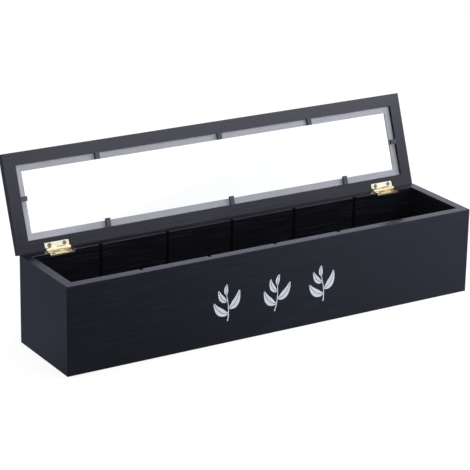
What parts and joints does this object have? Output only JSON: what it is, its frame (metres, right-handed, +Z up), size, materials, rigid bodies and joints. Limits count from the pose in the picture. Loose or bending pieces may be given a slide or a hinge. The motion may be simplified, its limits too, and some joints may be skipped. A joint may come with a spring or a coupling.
{
  "type": "tea bag organizer box",
  "caption": "Long black wooden box with a hinged glass-paned lid and lift-out boards that part the inside into compartments for tea bags.",
  "frame": {"origin": "middle of the underside of the box, without the lid", "axes": "+X along the box to the right as seen from the front, +Y from front to back towards the hinges, +Z up"},
  "size_m": [0.43, 0.1306, 0.1673],
  "materials": {
    "painted_wood": "satin black paint over fine straight grain, edges eased",
    "painted_board": "satin black paint, thin board",
    "clear_glass": "clear float glass",
    "tab_block": "black paint, slightly rough",
    "pale_brass": "bright pale brass plate with fine rolling marks",
    "pin_brass": "drawn brass wire",
    "screw_brass": "darkened brass plate, turned heads",
    "pale_print": "matt pale grey print, the sprigs on the front"
  },
  "bodies": {
    "box": {"front_panel": "painted_wood", "back_panel": "painted_wood", "left_side_panel": "painted_wood", "right_side_panel": "painted_wood", "bottom_panel": "painted_board", "left_hinge_box_leaf": "pale_brass", "right_hinge_box_leaf": "pale_brass", "left_hinge_pin": "pin_brass", "right_hinge_pin": "pin_brass", "left_hinge_box_screws": "screw_brass", "right_hinge_box_screws": "screw_brass"},
    "lid": {"lid_front_rail": "painted_wood", "lid_rear_rail": "painted_wood", "lid_left_stile": "painted_wood", "lid_right_stile": "painted_wood", "lid_glass": "clear_glass", "glass_tab_1": "tab_block", "glass_tab_2": "tab_block", "glass_tab_3": "tab_block", "glass_tab_4": "tab_block", "glass_tab_5": "tab_block", "glass_tab_6": "tab_block", "glass_tab_7": "tab_block", "glass_tab_8": "tab_block", "left_hinge_lid_leaf": "pale_brass", "right_hinge_lid_leaf": "pale_brass", "left_hinge_lid_screws": "screw_brass", "right_hinge_lid_screws": "screw_brass"},
    "board_1": {"divider_1": "painted_board"},
    "board_2": {"divider_2": "painted_board"},
    "board_3": {"divider_3": "painted_board"},
    "board_4": {"divider_4": "painted_board"},
    "board_5": {"divider_5": "painted_board"}
  },
  "joints": [
    {"name": "lid_hinge", "type": "hinge", "parent": "box", "child": "lid", "pos_m": [0, 0.0456, 0.0822], "axis": [-1, 0, 0], "range_deg": [-110, 0]},
    {"name": "board_1_lift", "type": "slide", "parent": "box", "child": "board_1", "axis": [0, 0, 1], "range_m": [0, 0.08]},
    {"name": "board_2_lift", "type": "slide", "parent": "box", "child": "board_2", "axis": [0, 0, 1], "range_m": [0, 0.08]},
    {"name": "board_3_lift", "type": "slide", "parent": "box", "child": "board_3", "axis": [0, 0, 1], "range_m": [0, 0.08]},
    {"name": "board_4_lift", "type": "slide", "parent": "box", "child": "board_4", "axis": [0, 0, 1], "range_m": [0, 0.08]},
    {"name": "board_5_lift", "type": "slide", "parent": "box", "child": "board_5", "axis": [0, 0, 1], "range_m": [0, 0.08]}
  ]
}
